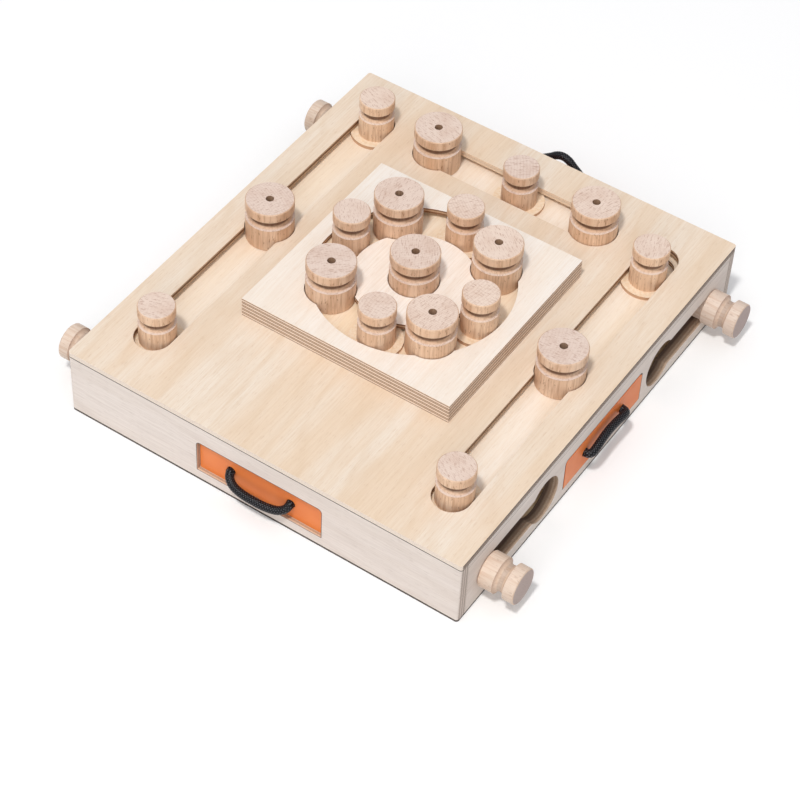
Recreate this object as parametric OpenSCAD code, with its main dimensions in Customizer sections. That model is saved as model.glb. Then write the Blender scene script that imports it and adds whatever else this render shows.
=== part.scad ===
// Wooden puzzle feeder for a dog: a flat plywood box whose top and sides carry
// sliding and lift-out turned pegs over treat tracks, with a drawer on each side.
// +X is right, +Y is back, +Z is up. The origin is the centre of the underside.

/* [Box] */
// Width of the box from side to side
box_w = 300; // [290:5:340]
// Depth of the box from front to back
box_d = 340; // [330:5:380]
// Height of the box up to its top sheet's surface
box_h = 54; // [53.5:0.5:64]
// Radius of the rounded upright corners
corner_r = 2; // [1:0.5:4]
// Thickness of the dark sheet under the box
base_t = 1.6; // [1:0.1:1.8]
// Thickness of the bottom board
bottom_t = 3.6; // [3:0.1:3.8]
// Thickness of the four side boards
wall_t = 8.5; // [7:0.5:10]
// Thickness of the slotted top sheet
top_t = 4.5; // [3.5:0.1:4.8]
// Height of the layer under the top sheet that the flanges run in
channel_t = 3.9; // [3.4:0.1:4.2]
// Thickness of the board that the pegs stand on
floor_t = 5; // [4.5:0.1:5.4]

/* [Raised board] */
// Side length of the square raised board
board_w = 160; // [156:1:170]
// Height of the raised board
board_h = 15; // [13.5:0.5:20]
// Thickness of its slotted top plate and of the disc inside the ring
plate_t = 3.8; // [3.2:0.1:4.2]
// Height of its flange channel
ring_channel_t = 3.6; // [3.2:0.1:4]
// Distance of the raised board's centre behind the box's centre
board_back = 1.7; // [0:0.1:3]
// Radius of the circle that the ring's pegs stand on
ring_r = 55; // [53:0.5:56]

/* [Pegs] */
// Diameter of the small sliding pegs
small_d = 25; // [23:0.5:26]
// Height of the small pegs
small_h = 32.8; // [28:0.2:36]
// Diameter of the flange under a small peg
flange_d = 36; // [35.4:0.2:36.6]
// Thickness of that flange
flange_t = 2.6; // [2:0.1:2.9]
// Diameter of the large lift-out pegs
large_d = 33.3; // [32:0.1:34]
// Height of the large pegs
large_h = 32.8; // [29:0.1:36]
// Diameter of the scent hole through a large peg
scent_d = 5.6; // [4:0.2:8]
// Height of a peg's cap above the groove
cap_h = 6.9; // [6:0.1:9]
// Width of the turned groove
cove_h = 7.6; // [5:0.1:8]
// Depth of the turned groove
cove_depth = 3.2; // [2:0.1:3.6]
// Width of the bevel on a peg's edges
peg_bevel = 0.6; // [0.2:0.1:1]
// Clearance round a small peg in its slot and round its flange
slot_gap = 0.5; // [0.3:0.1:0.8]
// Clearance round a large peg in its hole
hole_gap = 0.65; // [0.4:0.05:0.75]
// Diameter of the treat wells under the pegs
well_d = 22; // [16:1:24]
// Depth of the treat wells
well_h = 3.4; // [2:0.1:3.8]

/* [Tracks] */
// Distance of the side tracks from the sides of the box
side_track_inset = 35.5; // [34:0.5:36]
// Distance of the centres of a side track's ends from the front and back of the box
side_track_end = 43; // [39:0.5:48]
// Distance of the back track from the back of the box
back_track_inset = 43.7; // [40:0.1:45]
// Distance from a side track's line to the nearest large peg of the back track
track_space = 51.3; // [48:0.1:54]

/* [Peg places] */
// Distance of the left front peg from its track's end
left_front_step = 4.4; // [0:0.2:60]
// Distance of the left back peg from its track's end
left_back_step = 0.2; // [0:0.2:60]
// Distance of the right front peg from its track's end
right_front_step = 3.6; // [0:0.2:60]
// Distance of the right back peg from its track's end
right_back_step = 15.2; // [0:0.2:60]
// Distance of the back track's small peg right of the middle
back_step = 4.2; // [-20:0.2:20]
// Smallest gap between a sliding peg's flange and a large peg
peg_gap = 0.4; // [0.3:0.1:1]
// How far round its free play the ring's left peg stands
ring_left_share = -0.9; // [-1:0.05:1]
// How far round its free play the ring's back peg stands
ring_back_share = -0.45; // [-1:0.05:1]
// How far round its free play the ring's right peg stands
ring_right_share = -0.85; // [-1:0.05:1]
// How far round its free play the ring's front peg stands
ring_front_share = 1; // [-1:0.05:1]

/* [Side knobs] */
// Diameter of the side knobs
knob_d = 25; // [23:0.5:27]
// Length of a side knob outside the box
knob_out = 26; // [22:0.5:32]
// Length of a knob's cap outside its groove
knob_cap_h = 7.7; // [6:0.1:9]
// Height of the side knobs' axes above the ground
knob_z = 22; // [21.6:0.2:22.4]
// Diameter of a knob's shank where it passes through the side
shank_d = 22; // [19:0.5:22.5]
// Diameter of the flange that keeps a knob in its slot
knob_flange_d = 32; // [28:0.5:32.4]
// Thickness of that flange
knob_flange_t = 3; // [2:0.2:4]
// Diameter of the wide end of a side slot
wide_d = 34; // [33:0.2:34.4]
// Distance of a side slot's narrow end from the box's front or back
knob_inset = 31.5; // [29:0.5:33]
// Distance of a side slot's wide end from the middle of the side
wide_at = 72.5; // [72:0.5:80]
// Clearance round a knob's shank and beside its faces
knob_gap = 0.3; // [0.2:0.05:0.5]

/* [Drawers] */
// Width of the drawer openings
opening_w = 96; // [80:1:97]
// Height of the drawer openings
opening_h = 26; // [20:1:28]
// Height of the openings' sills above the ground
sill_z = 9; // [7.5:0.5:10]
// Radius of the openings' upper corners
opening_r = 3; // [1:0.5:5]
// Distance between the end of a drawer's rails and the next drawer's rail
rail_space = 13; // [10:0.5:30]
// Thickness of a drawer's front
tray_front_t = 5; // [4:0.5:7]
// Thickness of a drawer's other walls
tray_wall = 3.2; // [2.4:0.2:4.5]
// Thickness of a drawer's floor
tray_floor = 3; // [2:0.2:4]
// Clearance beside a drawer and above it
tray_gap = 0.6; // [0.4:0.1:1]
// Running clearance under a drawer
tray_lift = 0.2; // [0.1:0.05:0.3]
// Distance of a closed drawer's front behind the box's face
tray_recess = 2.8; // [1:0.2:4]
// Thickness of the rails' upright walls
rail_t = 5.6; // [4:0.2:6]
// Width of the ledges that the drawers run on
ledge_w = 8; // [5:0.5:14]
// Length of the stops behind the drawers
stop_l = 5; // [3:0.5:8]
// How far the front drawer stands open
front_pull = 0; // [0:0.5:60]
// How far the right drawer stands open
right_pull = 3; // [0:0.5:60]
// How far the back drawer stands open
back_pull = 20; // [0:0.5:60]
// How far the left drawer stands open
left_pull = 0; // [0:0.5:60]

/* [Rope handles] */
// Diameter of the rope
rope_d = 6; // [4:0.5:7]
// Clearance round the rope in the drawer's front
rope_gap = 0.3; // [0.2:0.1:0.6]
// Diameter of the stopper knots
knot_d = 14; // [12:0.5:15]
// Diameter of a knot's flat side
knot_flat_d = 9; // [8.4:0.2:10]
// Gap between a knot and the drawer's front when its rope is pulled tight
knot_gap = 0.2; // [0.1:0.05:0.3]
// How far the slack ropes' knots lie behind that place
rope_slack = 4.5; // [0:0.5:8]

/* [Hidden] */
$fn = 72;
eps = 0.01;
sides = ["front", "right", "back", "left"];
pulls = [front_pull, right_pull, back_pull, left_pull];

// Heights of the layers
board_z0 = base_t + bottom_t;
walls_z1 = box_h - top_t;
channel_z = walls_z1 - channel_t;
floor_z = channel_z - floor_t;
plate_z = box_h + board_h - plate_t;
ring_z = plate_z - ring_channel_t;

// Inside of the box
inner_w = box_w - 2 * wall_t;
inner_d = box_d - 2 * wall_t;

// Slots and holes
slot_w = small_d + 2 * slot_gap;
hole_d = large_d + 2 * hole_gap;
flange_w = flange_d + 2 * slot_gap;
track_x = box_w / 2 - side_track_inset;
track_y = box_d / 2 - back_track_inset;
side_track_l = box_d - 2 * side_track_end;
back_track_l = 2 * (track_x - track_space);
cove_r = (cove_h * cove_h / 4 + cove_depth * cove_depth) / (2 * cove_depth);
knob_y = box_d / 2 - knob_inset;
shank_w = shank_d + 2 * knob_gap;

// Drawers: depth, width, height and the height that the drawer's underside runs at.
// The rails of the front and back drawers end short of the side drawers' rails.
tray_l = box_d / 2 - opening_w / 2 - rail_t - rail_space - stop_l - tray_gap - tray_recess;
tray_w = opening_w - 2 * tray_gap;
tray_h = opening_h - tray_lift - tray_gap;
tray_z = sill_z + tray_lift;
rope_z = tray_z + tray_h / 2;

// Half of a rope loop from the drawer's face to the loop's middle, as [distance from
// the middle, distance in front of the drawer, height above the holes]
hanging_half = [
    [23, 0, 0], [22.8, 2, -0.3], [20.8, 5, -1.7], [16.5, 7, -3.2], [10, 8.3, -4.3], [0, 8.8, -4.7]
];
standing_half = [
    [23, 0, 0], [22.6, 2.2, 0.6], [20, 4.4, 2.6], [15.5, 5.8, 5.4], [9.5, 6.6, 9.2], [5, 6.8, 12.7],
    [0, 6.8, 14.2]
];
rope_x = hanging_half[0][0];
rope_sides = 10;

// Free play of a ring peg to either side of its middle place
ring_play = 45 - 2 * asin(((flange_d + large_d) / 2 + peg_gap) / (2 * ring_r));

// Sliding pegs: name, place and height of the floor below
small_pegs = [
    ["peg_left_front", [-track_x, left_front_step - side_track_l / 2, channel_z]],
    ["peg_left_back", [-track_x, side_track_l / 2 - left_back_step, channel_z]],
    ["peg_back_middle", [back_step, track_y, channel_z]],
    ["peg_right_back", [track_x, side_track_l / 2 - right_back_step, channel_z]],
    ["peg_right_front", [track_x, right_front_step - side_track_l / 2, channel_z]],
    ["ring_peg_right", ring_place(ring_right_share * ring_play)],
    ["ring_peg_back", ring_place(90 + ring_back_share * ring_play)],
    ["ring_peg_left", ring_place(180 + ring_left_share * ring_play)],
    ["ring_peg_front", ring_place(270 + ring_front_share * ring_play)]
];
// Lift-out pegs: name, place and height of the floor below
large_pegs = [
    ["peg_left_middle", [-track_x, 0, channel_z]],
    ["peg_back_left", [-back_track_l / 2, track_y, channel_z]],
    ["peg_back_right", [back_track_l / 2, track_y, channel_z]],
    ["peg_right_middle", [track_x, 0, channel_z]],
    ["ring_peg_back_right", ring_place(45)],
    ["ring_peg_back_left", ring_place(135)],
    ["ring_peg_front_left", ring_place(225)],
    ["ring_peg_front_right", ring_place(315)],
    ["peg_centre", [0, board_back, ring_z]]
];
// Side knobs: name, side of the box and end of the side
knobs = [
    ["knob_right_front", 1, -1],
    ["knob_right_back", 1, 1],
    ["knob_left_front", -1, -1],
    ["knob_left_back", -1, 1]
];

function ring_place(angle) = [ring_r * cos(angle), board_back + ring_r * sin(angle), ring_z];

// A flat layer between two heights
module layer(z0, z1) {
    translate([0, 0, z0]) linear_extrude(z1 - z0) children();
}

// Outlines

module rounded_plate(w, d, r) {
    square([w - 2 * r, d], center = true);
    square([w, d - 2 * r], center = true);
    for (x = [-1, 1], y = [-1, 1])
        translate([x * (w / 2 - r), y * (d / 2 - r)]) circle(r = r);
}

// A slot along X with round ends, l between the ends' centres
module slot_outline(l, w) {
    square([l, w], center = true);
    for (x = [-1, 1])
        translate([x * l / 2, 0]) circle(d = w);
}

module side_tracks(w) {
    for (x = [-1, 1])
        translate([x * track_x, 0]) rotate(90) slot_outline(side_track_l, w);
}

module back_track(w) {
    translate([0, track_y]) slot_outline(back_track_l, w);
}

module ring_band(w) {
    difference() {
        circle(d = 2 * ring_r + w);
        circle(d = 2 * ring_r - w);
    }
}

module at_ring_corners() {
    for (a = [45:90:315])
        rotate(a) translate([ring_r, 0]) children();
}

// The box

// Places its children on one side of the box, with the side's outer face at y = 0
// and +Y pointing into the box
module on_side(i) {
    reach = i % 2 == 0 ? box_d / 2 : box_w / 2;
    rotate(90 * i) translate([0, -reach, 0]) children();
}

module base_sheet() {
    color("#3b3330")
        linear_extrude(base_t) rounded_plate(box_w, box_d, corner_r);
}

module bottom_board() {
    color("#dcc7a4")
        translate([-inner_w / 2, -inner_d / 2, base_t]) cube([inner_w, inner_d, bottom_t]);
}

// Opening for a drawer, drawn on the outer face with its sill at y = 0
module opening_outline() {
    translate([-opening_w / 2, 0]) square([opening_w, opening_h - opening_r]);
    translate([opening_r - opening_w / 2, 0]) square([opening_w - 2 * opening_r, opening_h]);
    for (x = [-1, 1])
        translate([x * (opening_w / 2 - opening_r), opening_h - opening_r]) circle(r = opening_r);
}

module drawer_opening() {
    translate([0, wall_t + eps, sill_z]) rotate([90, 0, 0])
        linear_extrude(wall_t + 2 * eps) opening_outline();
}

// Front and back boards cover the ends of the side boards
module end_board(i) {
    color("#e4d9cc")
        difference() {
            layer(base_t, walls_z1)
                intersection() {
                    rounded_plate(box_w, box_d, corner_r);
                    translate([-box_w / 2, i == 0 ? -box_d / 2 : box_d / 2 - wall_t])
                        square([box_w, wall_t]);
                }
            on_side(i) drawer_opening();
        }
}

// A side slot: narrow for the shank, with a wide end next to the drawer
module side_slot_outline() {
    l = knob_y - wide_at;
    translate([wide_at + l / 2, 0]) slot_outline(l, shank_w);
    translate([wide_at, 0]) circle(d = wide_d);
}

module side_board(i) {
    color("#dccfc4")
        on_side(i)
            difference() {
                translate([-inner_d / 2, 0, base_t]) cube([inner_d, wall_t, walls_z1 - base_t]);
                drawer_opening();
                for (m = [0, 1])
                    mirror([m, 0, 0]) translate([0, wall_t + eps, knob_z]) rotate([90, 0, 0])
                        linear_extrude(wall_t + 2 * eps) side_slot_outline();
            }
}

// Rail beside a drawer: an upright wall up to the floor board, a ledge that the
// drawer runs on and a stop behind it
module rail(i, m) {
    stop_y = tray_recess + tray_l + tray_gap;
    color("#d9c3a0")
        on_side(i) mirror([m, 0, 0]) {
            translate([opening_w / 2, wall_t, board_z0])
                cube([rail_t, stop_y + stop_l - wall_t, floor_z - board_z0]);
            translate([opening_w / 2 - ledge_w, wall_t, board_z0])
                cube([ledge_w + eps, stop_y + stop_l - wall_t, sill_z - board_z0]);
            translate([opening_w / 2 - ledge_w, stop_y, sill_z - eps])
                cube([ledge_w + eps, stop_l, tray_h / 2]);
        }
}

// Treat well, with its mouth at z = 0
module well() {
    translate([0, 0, -well_h]) cylinder(d = well_d, h = well_h + 1);
}

// The board that the pegs stand on, with a treat well under each resting place
module floor_board() {
    color("#efe2cb")
        difference() {
            translate([-inner_w / 2, -inner_d / 2, floor_z]) cube([inner_w, inner_d, floor_t]);
            for (x = [-1, 1], y = [-1, 0, 1])
                translate([x * track_x, y * side_track_l / 2, channel_z]) well();
            for (x = [-1, 0, 1])
                translate([x * back_track_l / 2, track_y, channel_z]) well();
        }
}

module channel_board() {
    color("#e6d5b8")
        layer(channel_z, walls_z1)
            difference() {
                square([inner_w, inner_d], center = true);
                side_tracks(flange_w);
                back_track(flange_w);
            }
}

module top_sheet() {
    color("#ecd8b8")
        layer(walls_z1, box_h)
            difference() {
                rounded_plate(box_w, box_d, corner_r);
                side_tracks(slot_w);
                back_track(slot_w);
                for (p = large_pegs)
                    if (p[1][2] == channel_z)
                        translate([p[1][0], p[1][1]]) circle(d = hole_d);
            }
}

// The raised board

module raised_base() {
    color("#e2d0b2")
        translate([0, board_back, 0])
            difference() {
                layer(box_h, plate_z) square(board_w, center = true);
                layer(ring_z, plate_z + eps) {
                    ring_band(flange_w);
                    circle(d = hole_d);
                }
                for (a = [0:45:315])
                    rotate(a) translate([ring_r, 0, ring_z]) well();
                translate([0, 0, ring_z]) well();
            }
}

module raised_plate() {
    color("#f2e8d8")
        translate([0, board_back, 0])
            layer(plate_z, box_h + board_h)
                difference() {
                    square(board_w, center = true);
                    circle(d = 2 * ring_r + slot_w);
                    at_ring_corners() circle(d = hole_d);
                }
}

module raised_disc() {
    color("#f2e8d8")
        translate([0, board_back, 0])
            layer(plate_z, box_h + board_h)
                difference() {
                    circle(d = 2 * ring_r - slot_w);
                    at_ring_corners() circle(d = hole_d);
                    circle(d = hole_d);
                }
}

// Pegs

// A turned cylinder of diameter d from z0 to z1 with bevelled edges and a groove under its cap
module turned(d, z0, z1, cap) {
    difference() {
        rotate_extrude()
            polygon([
                [0, z0], [d / 2 - peg_bevel, z0], [d / 2, z0 + peg_bevel],
                [d / 2, z1 - peg_bevel], [d / 2 - peg_bevel, z1], [0, z1]
            ]);
        translate([0, 0, z1 - cap - cove_h / 2])
            rotate_extrude() translate([d / 2 - cove_depth + cove_r, 0]) circle(r = cove_r);
    }
}

module small_peg(place) {
    color("#d9b795")
        translate(place) {
            cylinder(d = flange_d, h = flange_t);
            turned(small_d, flange_t - peg_bevel - eps, small_h, cap_h);
        }
}

module large_peg(place) {
    color("#dcbc9c")
        translate(place)
            difference() {
                turned(large_d, 0, large_h, cap_h);
                translate([0, 0, -1]) cylinder(d = scent_d, h = large_h + 2);
            }
}

// Side knob with its axis along X: cap and groove outside, shank in the slot, flange inside
module knob(side, end) {
    color("#d9b795")
        translate([side * box_w / 2, end * knob_y, knob_z]) rotate([0, side * 90, 0]) {
            turned(knob_d, knob_gap, knob_out, knob_cap_h);
            translate([0, 0, -wall_t - knob_gap - eps])
                cylinder(d = shank_d, h = wall_t + 2 * (knob_gap + eps));
            translate([0, 0, -wall_t - knob_gap - knob_flange_t])
                cylinder(d = knob_flange_d, h = knob_flange_t);
        }
}

// Drawers

// Places its children in a drawer's own frame, with the middle of its front at y = 0
module in_drawer(i) {
    on_side(i) translate([0, tray_recess - pulls[i], 0]) children();
}

module tray(i) {
    color("#e8823f")
        in_drawer(i)
            difference() {
                translate([-tray_w / 2, 0, tray_z]) tray_body();
                translate([tray_wall - tray_w / 2, tray_front_t, tray_z + tray_floor])
                    cube([tray_w - 2 * tray_wall, tray_l - tray_front_t - tray_wall, tray_h]);
                for (x = [-1, 1])
                    translate([x * rope_x, -1, rope_z]) rotate([-90, 0, 0])
                        cylinder(d = rope_d + 2 * rope_gap, h = tray_front_t + 2);
            }
}

// The drawer's outer shape, with the upper corners rounded like the opening's
module tray_body() {
    r = opening_r;
    translate([0, tray_l, 0]) rotate([90, 0, 0])
        linear_extrude(tray_l) {
            square([tray_w, tray_h - r]);
            translate([r, 0]) square([tray_w - 2 * r, tray_h]);
            for (x = [r, tray_w - r])
                translate([x, tray_h - r]) circle(r = r);
        }
}

// Rope handles

function unit(v) = v / norm(v);

// The whole way of a rope from knot to knot, with +Y into the box
function rope_way(half, knot_y) =
    let (n = len(half), way = concat([[rope_x, -knot_y, 0]], half))
    [for (i = [-n:n]) let (p = way[n - abs(i)]) [i < 0 ? -p[0] : p[0], -p[1], p[2]]];

function way_dir(way, i) =
    unit(way[min(i + 1, len(way) - 1)] - way[max(i - 1, 0)]);

function ring_at(c, dir, d, n) =
    let (u = unit(cross(dir, [0, 0, 1])), v = cross(u, dir))
    [for (k = [0:n - 1]) c + d / 2 * (cos(360 * k / n) * u + sin(360 * k / n) * v)];

module tube(way, d, n) {
    m = len(way);
    points = [for (i = [0:m - 1]) each ring_at(way[i], way_dir(way, i), d, n)];
    walls = [for (i = [0:m - 2], k = [0:n - 1]) [
        i * n + k, i * n + (k + 1) % n, (i + 1) * n + (k + 1) % n, (i + 1) * n + k
    ]];
    start = [[for (k = [n - 1:-1:0]) k]];
    finish = [[for (k = [0:n - 1]) (m - 1) * n + k]];
    polyhedron(points, concat(walls, start, finish), convexity = 4);
}

// The standing loop is pulled tight against its knots, the others are slack
function knot_y(i) = tray_front_t + knot_gap + (i == 2 ? 0 : rope_slack);

module handle(i) {
    color("#1b1a1c")
        in_drawer(i) translate([0, 0, rope_z])
            tube(rope_way(i == 2 ? standing_half : hanging_half, knot_y(i)), rope_d, rope_sides);
}

// Stopper knots: round, with a flat side that the rope ends on
module knots(i) {
    flat_y = sqrt(knot_d * knot_d - knot_flat_d * knot_flat_d) / 2;
    color("#1b1a1c")
        in_drawer(i)
            for (x = [-1, 1])
                translate([x * rope_x, knot_y(i), rope_z])
                    rotate([-90, 0, 0]) rotate_extrude()
                        intersection() {
                            translate([0, flat_y]) circle(d = knot_d);
                            square([knot_d, 2 * knot_d]);
                        }
}

base_sheet();
bottom_board();
end_board(0);  // front_board
end_board(2);  // back_board
side_board(3);  // left_board
side_board(1);  // right_board
for (i = [0:3]) {
    rail(i, 0);
    rail(i, 1);
}
floor_board();
channel_board();
top_sheet();
raised_base();
raised_plate();
raised_disc();
for (p = small_pegs)
    small_peg(p[1]);
for (p = large_pegs)
    large_peg(p[1]);
for (k = knobs)
    knob(k[1], k[2]);
for (i = [0:3]) {
    tray(i);
    handle(i);
    knots(i);
}
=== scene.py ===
import math

import bpy
from mathutils import Matrix, Vector


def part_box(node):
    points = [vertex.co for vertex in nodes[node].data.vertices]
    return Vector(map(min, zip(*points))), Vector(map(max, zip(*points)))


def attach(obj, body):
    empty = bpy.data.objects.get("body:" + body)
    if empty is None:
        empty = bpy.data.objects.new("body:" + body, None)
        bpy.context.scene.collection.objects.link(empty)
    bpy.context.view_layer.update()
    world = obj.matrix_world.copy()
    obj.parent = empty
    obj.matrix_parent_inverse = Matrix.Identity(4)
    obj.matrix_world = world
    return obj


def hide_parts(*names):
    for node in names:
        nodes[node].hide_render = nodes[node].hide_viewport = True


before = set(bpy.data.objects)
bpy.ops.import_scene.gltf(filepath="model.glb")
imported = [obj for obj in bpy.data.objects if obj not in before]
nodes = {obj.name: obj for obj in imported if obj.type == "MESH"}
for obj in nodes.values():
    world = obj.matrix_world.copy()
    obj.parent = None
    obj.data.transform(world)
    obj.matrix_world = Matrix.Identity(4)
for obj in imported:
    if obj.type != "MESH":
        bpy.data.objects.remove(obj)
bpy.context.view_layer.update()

# Camera as in the photograph: angles in degrees, lengths in metres
camera = {
    "azimuth": 31.557,
    "elevation": 47.744,
    "roll": 3.253,
    "distance": 1.6456,
    "right": -0.00372,
    "up": -0.03156,
    "focalPixels": 2451.1,
    "framePixels": 800,
    "sensor": 36.0,
    "clipStart": 0.05,
    "clipEnd": 30.0,
}


def makeCamera(values):
    a, e, r = (math.radians(values[key]) for key in ("azimuth", "elevation", "roll"))
    back = Vector((math.sin(a) * math.cos(e), -math.cos(a) * math.cos(e), math.sin(e)))
    right = Vector((math.cos(a), math.sin(a), 0))
    up = back.cross(right)
    place = back * values["distance"] + right * values["right"] + up * values["up"]
    tiltedRight = right * math.cos(r) + up * math.sin(r)
    tiltedUp = up * math.cos(r) - right * math.sin(r)
    data = bpy.data.cameras.new("photoCamera")
    data.sensor_width = values["sensor"]
    data.lens = values["focalPixels"] * values["sensor"] / values["framePixels"]
    data.clip_start = values["clipStart"]
    data.clip_end = values["clipEnd"]
    thing = bpy.data.objects.new("photoCamera", data)
    turn = Matrix((tiltedRight, tiltedUp, back)).transposed().to_4x4()
    thing.matrix_world = Matrix.Translation(place) @ turn
    bpy.context.scene.collection.objects.link(thing)
    bpy.context.scene.camera = thing


makeCamera(camera)
print("camera set")

# Rope handles

rope = {
    "diameter": 0.006,
    "holeX": 0.023,
    "holeZ": 0.0218,
    "faceOfDrawer": 0.0028,
    "knotPlace": 0.0052,
    "slack": 0.0045,
    "curveSteps": 24,
    "braidPitch": 0.0145,
    "carriers": 16,
    "strandHeight": 0.0006,
    "strandRoundness": 1.95,
    "underHeight": 0.35,
    "aroundSteps": 56,
    "alongStep": 0.00032,
    "pathEvery": 4,
}
knot = {
    "middle": 0.0054,  # behind the rope's last point
    "size": 0.00142,
    "depth": 1.5,
    "strand": 0.0052,
    "steps": 120,
    "endLength": 0.0068,
    "endAcross": 0.0012,
    "endDrop": 0.0015,
    "endShare": 0.9,
    "endSteps": 20,
}
# Half of each loop: from the middle, in front of the drawer, above the holes (mm)
hangingHalf = [
    (23, 0, 0), (22.9, 1.6, -0.7), (21.3, 4, -3), (17, 6.2, -5), (10, 7.7, -5.7), (0, 8.2, -5.8),
]
restingHalf = [
    (23, 0, 0), (22.8, 2.3, 0.1), (20.9, 4.2, 0.6), (16, 4.6, 1.8), (9, 4.4, 3), (0, 4.2, 3.5),
]
standingHalf = [
    (23, 0, 0), (22.6, 2.2, 0.6), (20, 4.4, 2.6), (15.5, 5.8, 5.4), (9.5, 6.6, 9.2),
    (5, 6.8, 12.7), (0, 6.8, 14.2),
]
boxSides = {
    "front": {"turn": 0, "reach": 0.170, "pull": 0.0, "half": hangingHalf, "slack": rope["slack"]},
    "right": {"turn": 90, "reach": 0.150, "pull": 0.003, "half": restingHalf, "slack": rope["slack"]},
    "back": {"turn": 180, "reach": 0.170, "pull": 0.020, "half": standingHalf, "slack": 0.0},
    "left": {"turn": 270, "reach": 0.150, "pull": 0.0, "half": hangingHalf, "slack": rope["slack"]},
}


# A point given from the middle of a side's face, with inward into the box
def sidePoint(side, x, inward, z):
    a = math.radians(side["turn"])
    px, py = x, inward - side["reach"]
    return Vector((px * math.cos(a) - py * math.sin(a), px * math.sin(a) + py * math.cos(a), z))


# The rope's own points from knot to knot, in metres
def ropeRoute(side):
    inward = rope["faceOfDrawer"] - side["pull"]
    half = [(p[0] / 1000, -p[1] / 1000, p[2] / 1000) for p in side["half"]]
    half = [(rope["holeX"], rope["knotPlace"] + side["slack"], 0.0)] + half
    whole = [(-x, y, z) for x, y, z in half] + [(x, y, z) for x, y, z in half[-2::-1]]
    return [sidePoint(side, x, inward + y, rope["holeZ"] + z) for x, y, z in whole]


# A smooth line through the points, cut into equal short steps
def smoothLine(points, step):
    fine = []
    steps = rope["curveSteps"]
    for i in range(len(points) - 1):
        p0 = points[max(i - 1, 0)]
        p1, p2 = points[i], points[i + 1]
        p3 = points[min(i + 2, len(points) - 1)]
        for k in range(steps):
            t = k / steps
            a = 2 * p1
            b = (p2 - p0) * t
            c = (2 * p0 - 5 * p1 + 4 * p2 - p3) * t * t
            d = (3 * p1 - p0 - 3 * p2 + p3) * t ** 3
            fine.append((a + b + c + d) / 2)
    fine.append(points[-1])
    lengths = [0.0]
    for a, b in zip(fine, fine[1:]):
        lengths.append(lengths[-1] + (b - a).length)
    count = round(lengths[-1] / step)
    line, at = [], 0
    for k in range(count + 1):
        want = lengths[-1] * k / count
        while at < len(lengths) - 2 and lengths[at + 1] < want:
            at += 1
        part = (want - lengths[at]) / max(lengths[at + 1] - lengths[at], 1e-9)
        line.append(fine[at].lerp(fine[at + 1], min(max(part, 0), 1)))
    return line, lengths[-1]


# Height of the braid's surface from 0 to 1; both are counted in strands
def braidHeight(around, along):
    best = 0.0
    for hand in (1, -1):
        across = around + hand * along
        strand = math.floor(across)
        local = across - strand - 0.5
        crown = math.sqrt(max(0.0, 1 - (local * rope["strandRoundness"]) ** 2))
        # each strand runs over and under those of the other hand in turn
        wave = 0.5 + 0.5 * hand * math.cos(math.pi * (around - hand * along + strand - 0.5))
        best = max(best, crown * (rope["underHeight"] + (1 - rope["underHeight"]) * wave))
    return best


# A tube along the line with a raised braid on it; the braid's height is kept for the painted glints of its
# finish
def braidTube(name, line, diameter, closed=False):
    ring = rope["aroundSteps"]
    verts, faces, heights = [], [], []
    normal = None
    travelled = 0.0
    count = len(line)
    for i, here in enumerate(line):
        if closed:
            ahead = (line[(i + 1) % count] - line[i - 1]).normalized()
        else:
            ahead = (line[min(i + 1, count - 1)] - line[max(i - 1, 0)]).normalized()
        if normal is None:
            normal = ahead.cross(Vector((0, 0, 1)))
        normal = (normal - ahead * normal.dot(ahead)).normalized()
        other = ahead.cross(normal)
        if i:
            travelled += (here - line[i - 1]).length
        for k in range(ring):
            a = 2 * math.pi * k / ring
            around = rope["carriers"] / 2 * k / ring
            along = travelled / rope["braidPitch"] * rope["carriers"] / 2
            heights.append(braidHeight(around, along))
            radius = diameter / 2 - rope["strandHeight"] * (1 - heights[-1])
            verts.append(here + (normal * math.cos(a) + other * math.sin(a)) * radius)
    last = count if closed else count - 1
    for i in range(last):
        for k in range(ring):
            a, b = i * ring, (i + 1) % count * ring
            faces.append((a + k, a + (k + 1) % ring, b + (k + 1) % ring, b + k))
    if not closed:
        faces.append(tuple(reversed(range(ring))))
        faces.append(tuple((count - 1) * ring + k for k in range(ring)))
    mesh = bpy.data.meshes.new(name)
    mesh.from_pydata(verts, [], faces)
    mesh.update()
    for face in mesh.polygons:
        face.use_smooth = True
    mesh.attributes.new("crown", "FLOAT", "POINT").data.foreach_set("value", heights)
    thing = bpy.data.objects.new(name, mesh)
    bpy.context.scene.collection.objects.link(thing)
    return thing


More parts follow.
